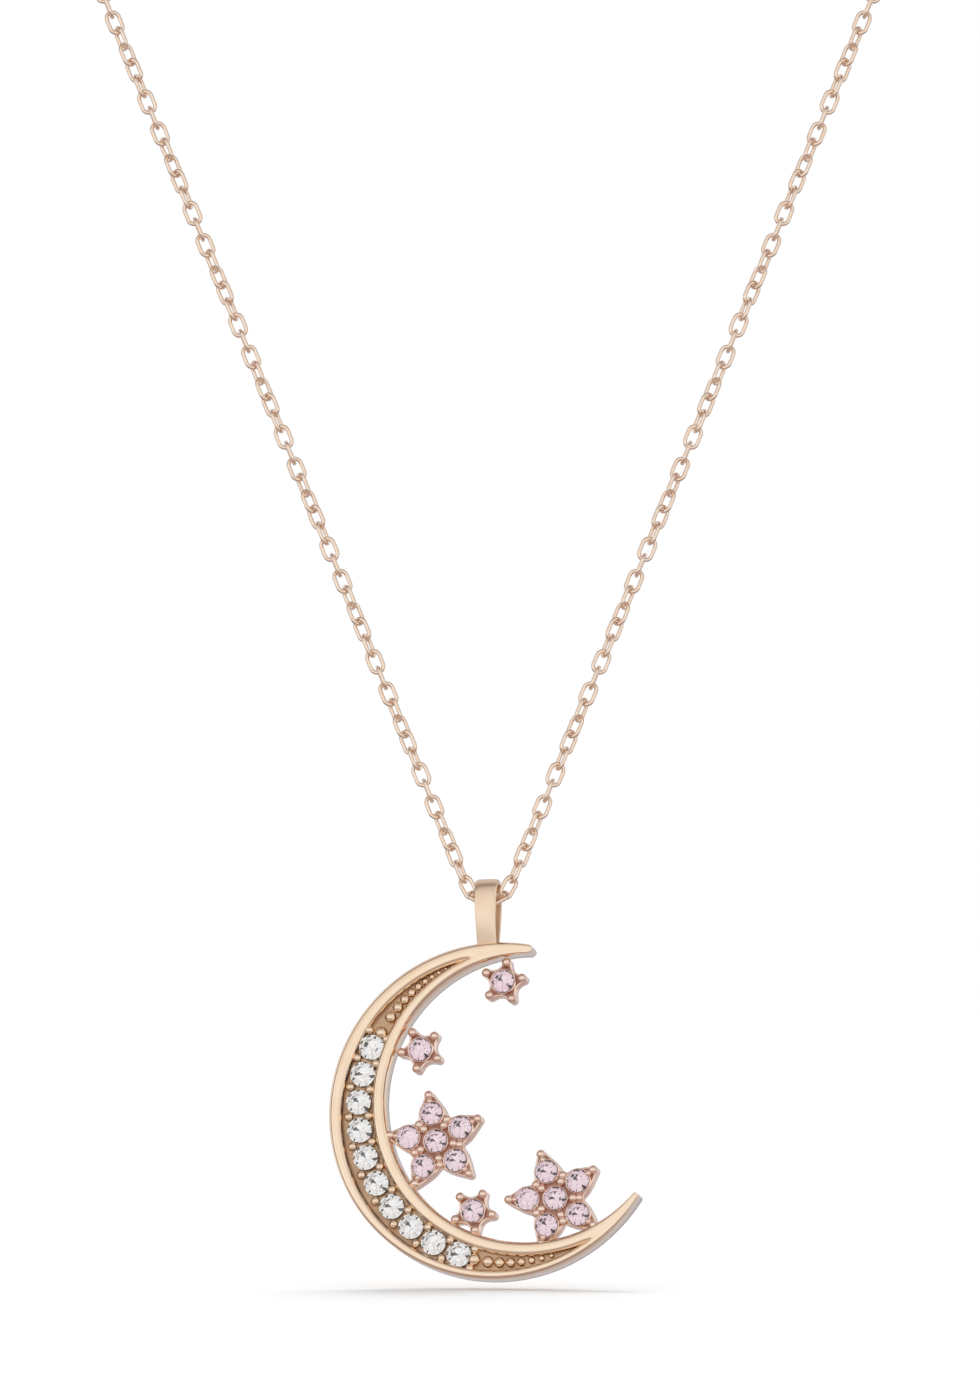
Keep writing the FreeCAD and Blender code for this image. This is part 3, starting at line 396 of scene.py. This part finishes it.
def dome(start, end, drop):
    """Front of a polished rail between two places: flat crown, rounded shoulders."""
    points = []
    for number in range(RAIL_STEPS + 1):
        share = -math.cos(math.pi * number / RAIL_STEPS)
        across = start + (end - start) * (share + 1) / 2
        points.append((across, FRONT + drop * abs(share) ** RAIL_DOME_POWER))
    return points


def rail(start, end, edge, edge_drop, groove):
    """Domed rail that drops by edge_drop at the crescent's edge and by groove at the channel."""
    half = abs(end - start) / 2
    points = []
    for reach, depth in dome(start, end, edge_drop):
        if abs(reach - edge) >= half:
            depth = FRONT + (depth - FRONT) * groove / edge_drop
        points.append((reach, depth))
    return points


def crescent_profile(angle, squeeze):
    """Cross section along a ray, as distance from the hollow's centre and depth.

    Squeeze narrows it about its middle, for the round tips of the horns.
    """
    outer, inner = ray_reach(OUTER, angle), HOLLOW[1]
    wall = min(ray_reach(CHANNEL_OUTER, angle), outer)
    lip = ray_reach(CHANNEL_INNER, angle)
    width = outer - inner
    gap = wall - lip
    edge_drop = min(RAIL_EDGE_DROP, 0.30 * width)
    middle = (wall + lip) / 2
    half_gap = max(gap, CLOSED_GAP) / 2
    wall, lip = middle + half_gap, middle - half_gap
    groove = edge_drop * clamped(1 + gap / GROOVE_FADES)
    floor = FRONT + groove + (CHANNEL_DEPTH - groove) * clamped(gap / CHANNEL_OPENS)
    round_back = min(BACK_ROUNDING, 0.2 * width)
    bend = 0.3 * round_back
    points = [(outer - round_back, BACK), (outer - bend, BACK - bend), (outer, BACK - round_back)]
    points += rail(outer, wall, outer, edge_drop, groove)
    points += [(wall, floor), (lip, floor)]
    points += rail(lip, inner, inner, edge_drop, groove)
    points += [(inner, BACK - round_back), (inner + bend, BACK - bend), (inner + round_back, BACK)]
    centre = (outer + inner) / 2
    return [(centre + (reach - centre) * squeeze, depth) for reach, depth in points]


def horn_angle(width, low, high):
    """Direction in which the crescent has a width, between two directions."""
    halvings = 60
    for _ in range(halvings):
        middle = (low + high) / 2
        if ray_reach(OUTER, middle) - HOLLOW[1] > width:
            low = middle
        else:
            high = middle
    return middle


def crescent_loops():
    """Sections from the upper horn to the lower one, with round horn tips."""
    upper_width, lower_width = 0.46, 0.30
    widest, above, below = math.radians(200), math.radians(80), math.radians(330)
    steps = 300
    tip_turns = (25, 45, 62, 76, 86)
    first = horn_angle(upper_width, widest, above)
    last = horn_angle(lower_width, widest, below)
    stations = [(first + (last - first) * number / steps, 1.0, 0.0) for number in range(steps + 1)]
    upper_tip, lower_tip = [], []
    for degrees in tip_turns:
        turn = math.radians(degrees)
        ahead = math.sin(turn) / 2
        upper_tip.insert(0, (first, math.cos(turn), -ahead * upper_width))
        lower_tip.append((last, math.cos(turn), ahead * lower_width))
    stations = upper_tip + stations + lower_tip
    centre_x, centre_z = HOLLOW[0]
    loops = []
    for angle, squeeze, ahead in stations:
        loop = []
        for reach, depth in crescent_profile(angle, squeeze):
            x = centre_x + reach * math.cos(angle) - ahead * math.sin(angle)
            z = centre_z + reach * math.sin(angle) + ahead * math.cos(angle)
            loop.append((x, depth, z))
        loops.append(loop)
    return loops


CHANNEL_FLOOR = FRONT + CHANNEL_DEPTH
CHANNEL_SEAT = ((0.35, 1.2), (0.35, -0.1), (0.42, -0.35))
GRAIN_SINK = 0.05
PRONG_RADIUS = 0.235
PRONG_OFFSET = 0.50
PRONG_TOP = FRONT + 0.05
# Each row runs from its end beside the white stones to its end at a horn.
MILGRAIN_ROWS = (
    {"count": 11, "angles": (145, 107), "reaches": (7.17, 7.75), "radii": (0.32, 0.09), "spacing": 0.72},
    {"count": 8, "angles": (261.3, 290.5), "reaches": (7.55, 7.86), "radii": (0.33, 0.14), "spacing": 0.88},
)


def between(ends, share):
    """Value at a share of the way from one end to the other."""
    return ends[0] + (ends[1] - ends[0]) * share


def add_milgrain(shape, count, angles, reaches, radii, spacing):
    """Row of grains between two ends; spacing is the power that spreads them."""
    for number in range(count):
        share = number / (count - 1)
        along = share ** spacing
        radius = between(radii, share)
        x, z = polar_place(OUTER[0], between(reaches, along), between(angles, along))
        top = CHANNEL_FLOOR - 1.5 * radius
        shape.lathe(x, z, bead_profile(radius, top, CHANNEL_FLOOR + GRAIN_SINK), BEAD_SEGMENTS)


def add_prongs(shape):
    """Grains that hold the white stones, in pairs between them."""
    profile = bead_profile(PRONG_RADIUS, PRONG_TOP, CHANNEL_FLOOR + GRAIN_SINK)
    step = WHITE_ANGLES[1] - WHITE_ANGLES[0]
    for number in range(WHITE_COUNT + 1):
        angle = WHITE_FIRST + (number - 0.5) * step
        for side in (-1, 1):
            x, z = polar_place(WHITE_ARC[0], WHITE_ARC[1] + side * PRONG_OFFSET, angle)
            shape.lathe(x, z, profile, BEAD_SEGMENTS)


def make_crescent(finishes):
    """Polished rails, sunk channel with open seats, grains and milgrain."""
    body = Shape()
    # The channel's faces take the dark brown finish of painted shade.
    body.loft(crescent_loops(), accents=CHANNEL_FACES)
    item = body.build("crescent_rails", (finishes["crescent"], finishes["channel"]))
    seats = Shape()
    for angle in WHITE_ANGLES:
        x, z = polar_place(*WHITE_ARC, angle)
        seats.lathe(x, z, CHANNEL_SEAT, SEAT_SEGMENTS)
    # The seat holes' walls take the same painted shade.
    cut_away(item, seats.build("seats", (finishes["channel"], finishes["channel"])))
    grains = Shape()
    add_prongs(grains)
    for row in MILGRAIN_ROWS:
        add_milgrain(grains, **row)
    beads = grains.build("crescent_grains", (finishes["crescent"],))
    for piece in (item, beads):
        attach(piece, "pendant")
    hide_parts("crescent_frame")


# ---------------------------------------------------------------------- stars

STAR_PLATE = FRONT + 0.42
STAR_BACK = STAR_PLATE + 0.80
STAR_LEVELS = (
    # inset of the outline, depth
    (0.06, STAR_BACK),
    (0.0, STAR_BACK - 0.06),
    (0.0, STAR_PLATE + 0.10),
    (0.03, STAR_PLATE + 0.03),
    (0.09, STAR_PLATE),
)
STAR_SEAT = ((0.33, 1.2), (0.33, -0.2), (0.45, -0.40))
COLLAR = (
    # closed section: radius, depth
    (0.46, STAR_PLATE + 0.05),
    (0.66, STAR_PLATE + 0.05),
    (0.655, FRONT + 0.26),
    (0.63, FRONT + 0.20),
    (0.595, FRONT + 0.185),
    (0.57, FRONT + 0.20),
    (0.46, FRONT + 0.30),
)
STAR_GRAIN_SINK = 0.10
POINTS = 5
POINT_STEP = 360 // POINTS
TIP_RADIUS = 0.22
# An arm is one side of its outline: places along it and across it. Grains are
# reach, turn from a point of the star, radius, and top behind the front.
SMALL_STAR = {
    "arm": ((0.60, 0.435), (0.76, 0.30), (0.90, 0.245)),
    "tip_reach": 0.97,
    "outer_stones": (),
    "grains": ((0.97, 0, 0.235, 0.06),),
}
LARGE_STAR = {
    "arm": ((1.08, 0.785), (1.30, 0.735), (1.52, 0.685), (1.80, 0.56), (2.10, 0.40)),
    "tip_reach": 2.36,
    "outer_stones": ((1.42, 0),),
    "grains": (
        (2.36, 0, 0.235, 0.06),
        (2.05, 0, 0.16, 0.10),
        (1.21, 36, 0.24, 0.10),
        (0.88, 36, 0.24, 0.06),
    ),
}
STARS = (
    # name, kind, x, z, angle of one point
    ("small_star_top", SMALL_STAR, 0.84, -4.18, 8),
    ("small_star_left", SMALL_STAR, -3.36, -7.50, 43),
    ("small_star_bottom", SMALL_STAR, -0.69, -15.72, 60),
    ("large_star_left", LARGE_STAR, -2.57, -12.15, 27),
    ("large_star_right", LARGE_STAR, 3.48, -15.20, 36),
)


def star_outline(arm, tip_reach):
    """Closed outline in the star's plane, made of five arms with round tips."""
    tip = []
    for degrees in range(75, -76, -15):
        turn = math.radians(degrees)
        tip.append((tip_reach + TIP_RADIUS * math.cos(turn), TIP_RADIUS * math.sin(turn)))
    whole = list(arm) + tip + [(x, -y) for x, y in reversed(arm[1:])]
    outline = []
    for number in range(POINTS):
        turn = math.radians(-POINT_STEP * number)
        along, across = math.cos(turn), math.sin(turn)
        for x, y in whole:
            outline.append((x * along - y * across, x * across + y * along))
    return outline


def inset(outline, amount):
    """The outline moved inwards."""
    moved = []
    count = len(outline)
    for number, (x, y) in enumerate(outline):
        before = Vector(outline[number - 1])
        after = Vector(outline[(number + 1) % count])
        here = Vector((x, y))
        normal = (here - before).normalized() + (after - here).normalized()
        normal = Vector((-normal.y, normal.x)).normalized()
        if normal.dot(here) > 0:
            normal = -normal
        moved.append(tuple(here + normal * amount))
    return moved


def turned(outline, x, z, angle, depth):
    """Outline in the star's plane, turned and moved to its place in the pendant."""
    turn = math.radians(angle)
    right = Vector((math.cos(turn), math.sin(turn)))
    up = Vector((-math.sin(turn), math.cos(turn)))
    moved = [right * along + up * across for along, across in outline]
    return [(x + point.x, depth, z + point.y) for point in moved]


def round_star(x, z, angle, reach):
    """Five places round a star's centre."""
    return [polar_place((x, z), reach, angle + POINT_STEP * number) for number in range(POINTS)]


def make_star_plate(name, kind, x, z, angle, seats, finishes):
    """Bevelled plate with an open seat under each stone."""
    outline = star_outline(kind["arm"], kind["tip_reach"])
    plate = Shape()
    loops = [turned(inset(outline, amount), x, z, angle, depth) for amount, depth in STAR_LEVELS]
    # The plate's sunk front takes the dark finish of painted shade.
    plate.loft(loops, front_accent=True)
    item = plate.build(f"{name}_setting", (finishes["star"], finishes["star_floor_painted_shade"]))
    holes = Shape()
    for seat_x, seat_z in seats:
        holes.lathe(seat_x, seat_z, STAR_SEAT, SEAT_SEGMENTS)
    # The seat holes' walls take the same painted shade.
    cut_away(item, holes.build("holes", (finishes["star_floor_painted_shade"], finishes["star_floor_painted_shade"])))
    return item


def make_star_claws(name, kind, x, z, angle, seats, finishes):
    """Collars round the stones, claws at the points and grains between the stones."""
    trim = Shape()
    for seat_x, seat_z in seats:
        trim.lathe(seat_x, seat_z, COLLAR, COLLAR_SEGMENTS, closed=True)
    for reach, side, radius, top in kind["grains"]:
        profile = bead_profile(radius, FRONT + top, STAR_PLATE + STAR_GRAIN_SINK)
        for grain_x, grain_z in round_star(x, z, angle + side, reach):
            trim.lathe(grain_x, grain_z, profile, BEAD_SEGMENTS)
    return trim.build(f"{name}_claws", (finishes["star"],))


def make_star(name, kind, x, z, angle, finishes):
    """Star setting in two pieces: plate, and collars with claws."""
    seats = [(x, z)]
    for reach, side in kind["outer_stones"]:
        seats += round_star(x, z, angle + side, reach)
    item = make_star_plate(name, kind, x, z, angle, seats, finishes)
    claws = make_star_claws(name, kind, x, z, angle, seats, finishes)
    for piece in (item, claws):
        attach(piece, "pendant")
    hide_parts(name)


# ----------------------------------------------------------------------- bail

BAIL_HALF_THICKNESS = 0.13
BAIL_LEG = (
    # depth, height, width
    (-0.34, -2.50, 0.96),
    (-0.44, -2.20, 0.96),
    (-0.58, -1.80, 0.97),
    (-0.71, -1.40, 0.98),
    (-0.80, -1.00, 1.00),
    (-0.835, -0.65, 1.03),
)
# Outline of the strip's section: shares of its half width, and of its half
# thickness outwards. The outside is gently crowned.
BAIL_SECTION = (
    (-1, -0.7), (-0.97, -0.97), (-0.9, -1), (0.9, -1), (0.97, -0.97), (1, -0.7), (1, 0.4), (0.96, 0.8),
    (0.86, 1.0), (0.5, 1.12), (0, 1.16), (-0.5, 1.12), (-0.86, 1.0), (-0.96, 0.8), (-1, 0.4),
)


def bail_line():
    """Middle of the strip in the plane X = 0: depth, height and width."""
    arch, shoulder, top, fullness = 0.84, -0.30, 0.94, 0.8
    steps, shoulder_width, top_widening = 20, 1.06, 0.09
    line = list(BAIL_LEG)
    for number in range(steps + 1):
        across, upward = math.cos(math.pi * number / steps), math.sin(math.pi * number / steps)
        depth = -arch * math.copysign(abs(across) ** fullness, across)
        height = shoulder + (top - shoulder) * abs(upward) ** fullness
        line.append((depth, height, shoulder_width + top_widening * upward))
    return line + [(-depth, height, width) for depth, height, width in reversed(BAIL_LEG)]


def make_bail(finishes):
    """Strip bent to a drop, its two ends soldered to the top of the crescent."""
    line = bail_line()
    loops = []
    for number, (depth, height, width) in enumerate(line):
        before = Vector(line[max(number - 1, 0)][:2])
        after = Vector(line[min(number + 1, len(line) - 1)][:2])
        along = (after - before).normalized()
        outward = Vector((-along.y, along.x))
        loop = []
        for across, through in BAIL_SECTION:
            offset = outward * (through * BAIL_HALF_THICKNESS)
            loop.append((across * width / 2, depth + offset.x, height + offset.y))
        loops.append(loop)
    shape = Shape()
    shape.loft(loops)
    item = shape.build("bail_strip", (finishes["bail"],))
    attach(item, "pendant")
    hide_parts("bail")


# ------------------------------------------------------------ floor and light

def mesh_object(name, build, material):
    """Object from a function that fills a bmesh."""
    mesh = bpy.data.meshes.new(name)
    work = bmesh.new()
    build(work)
    work.to_mesh(mesh)
    work.free()
    item = bpy.data.objects.new(name, mesh)
    bpy.context.scene.collection.objects.link(item)
    mesh.materials.append(material)
    return item


def seen_directly(shader):
    """1 for camera, glossy and transmission rays, else 0."""
    path = shader.node("ShaderNodeLightPath")
    either = shader.math("MAXIMUM", path.outputs["Is Camera Ray"], path.outputs["Is Glossy Ray"])
    return shader.math("MAXIMUM", either, path.outputs["Is Transmission Ray"])


def floor_material():
    """White paper sweep that keeps a soft shadow."""
    material = bpy.data.materials.new("floor_paper")
    shader = Shader(material)
    paper = shader.node("ShaderNodeBsdfDiffuse")
    paper.inputs["Color"].default_value = WHITE
    shader.surface(paper.outputs[0])
    return material


def make_floor():
    """Broad square of paper just under the pendant."""
    half, gap = 30.0, 0.30 * MM

    def build(work):
        signs = ((-1, -1), (1, -1), (1, 1), (-1, 1))
        work.faces.new([work.verts.new((x * half, y * half, LOWEST - gap)) for x, y in signs])

    floor = mesh_object("floor", build, floor_material())
    floor.visible_glossy = False


SKY_LIGHT = 0.76
SKY_CLOUD = rgb(0.86, 0.83, 0.81)
SKY_ABOVE = rgb(0.64, 0.57, 0.55)
SKY_BELOW = rgb(0.50, 0.42, 0.40)
SKY_BEHIND = rgb(0.58, 0.58, 0.63)


def make_world():
    """White all round; metal sees it in soft clouds, darker above and below, cooler behind."""
    world = bpy.data.worlds.new("studio")
    bpy.context.scene.world = world
    shader = Shader(world)
    background = shader.node("ShaderNodeBackground")
    separate = shader.node("ShaderNodeSeparateXYZ")
    direction = shader.node("ShaderNodeTexCoord").outputs["Generated"]
    shader.put(separate.inputs[0], direction)
    downwards = shader.math("MULTIPLY", separate.outputs["Z"], -1.0)
    tones = (
        (shader.ramp(shader.noise(1.6, 1, direction), 0.40, 0.66), SKY_CLOUD),
        (shader.ramp(separate.outputs["Z"], 0.42, 0.95), SKY_ABOVE),
        (shader.ramp(downwards, 0.16, 0.46), SKY_BELOW),
        (shader.ramp(separate.outputs["Y"], 0.55, 0.95), SKY_BEHIND),
    )
    metal_sees = WHITE
    for share, tone in tones:
        metal_sees = shader.mix(share, metal_sees, tone)
    path = shader.node("ShaderNodeLightPath")
    shader.put(background.inputs["Color"], shader.mix(path.outputs["Is Glossy Ray"], WHITE, metal_sees))
    strength = shader.math("MULTIPLY_ADD", seen_directly(shader), 1 - SKY_LIGHT, SKY_LIGHT)
    shader.put(background.inputs["Strength"], strength)
    shader.surface(background.outputs[0], "ShaderNodeOutputWorld")


def card_material():
    """Grey card, darkest along its front rim."""
    front_tone, back_tone = rgb(0.12, 0.075, 0.06), rgb(0.62, 0.57, 0.62)
    material = bpy.data.materials.new("card_grey")
    shader = Shader(material)
    separate = shader.node("ShaderNodeSeparateXYZ")
    shader.put(separate.inputs[0], shader.place())
    back = shader.ramp(separate.outputs["Y"], -0.04, 0.09)
    shader.surface(shader.emission(shader.mix(back, front_tone, back_tone)))
    return material


def make_card():
    """Hoop of grey card round the object, seen only in reflections."""
    radius, steps = 0.45, 96
    front, back = -0.10, 0.13
    drop = 0.01

    def build(work):
        places = circle_places(0, 0, radius, steps)
        near = [work.verts.new((x, front, z)) for x, z in places]
        far = [work.verts.new((x, back, z)) for x, z in places]
        for number in range(steps):
            after = (number + 1) % steps
            work.faces.new((near[number], near[after], far[after], far[number]))

    card = mesh_object("grey_hoop", build, card_material())
    card.location = HANGING_POINT + Vector((0, 0, -drop))
    card.visible_camera = False
    card.visible_diffuse = False
    card.visible_shadow = False


def shade_material():
    """Near black with a faint cloud."""
    material = bpy.data.materials.new("shade_black")
    shader = Shader(material)
    cloud = shader.noise(6, 1, shader.place())
    shader.surface(shader.emission(shader.mix(cloud, rgb(0, 0, 0), rgb(0.08, 0.07, 0.09))))
    return material


def make_lens_shade():
    """Dark discs round the camera that give the stones their dark facets."""
    centre_radius, side_radius, side_reach, sides = 0.10, 0.085, 0.20, 5
    segments, distance = 24, 0.9

    def build(work):
        discs = [(0, 0, centre_radius)]
        discs += [(x, z, side_radius) for x, z in circle_places(0, 0, side_reach, sides)]
        for middle_x, middle_z, radius in discs:
            places = circle_places(middle_x, middle_z, radius, segments)
            work.faces.new([work.verts.new((x, 0, z)) for x, z in places])

    shade = mesh_object("lens_shade", build, shade_material())
    shade.location = HANGING_POINT + Vector((0, -distance, 0))
    shade.visible_camera = False
    shade.visible_diffuse = False
    shade.visible_shadow = False
    shade.visible_glossy = False


def make_light():
    """Broad soft light from above and behind, which lays the shadow forward on the paper."""
    light = bpy.data.lights.new("soft_back", "SUN")
    light.angle = math.radians(35)
    light.energy = 1.15
    lamp = bpy.data.objects.new("soft_back", light)
    bpy.context.scene.collection.objects.link(lamp)
    lamp.location = HANGING_POINT + Vector((0, 0.3, 0.4))
    lamp.rotation_euler = (math.radians(-42), 0, 0)
    lamp.visible_glossy = False


def make_camera():
    """Long lens level with the object; the frame is 70 mm high at the pendant."""
    frame_height, distance, sensor = 0.070, 0.8, 36.0
    aim_right, aim_up = 0.085 * MM, 10.05 * MM
    camera = bpy.data.cameras.new("camera")
    camera.lens = sensor * distance / frame_height
    camera.sensor_width = sensor
    camera.clip_start = 0.01
    camera.clip_end = 100
    item = bpy.data.objects.new("camera", camera)
    bpy.context.scene.collection.objects.link(item)
    item.location = HANGING_POINT + Vector((aim_right, -distance, aim_up))
    item.rotation_euler = (math.pi / 2, 0, 0)
    bpy.context.scene.camera = item


materials = make_materials()
dress_frame(materials)
make_crescent(materials)
for star in STARS:
    make_star(*star, materials)
make_bail(materials)
make_floor()
make_world()
make_card()
make_lens_shade()
make_light()
make_camera()
bpy.context.scene.view_settings.view_transform = "Standard"
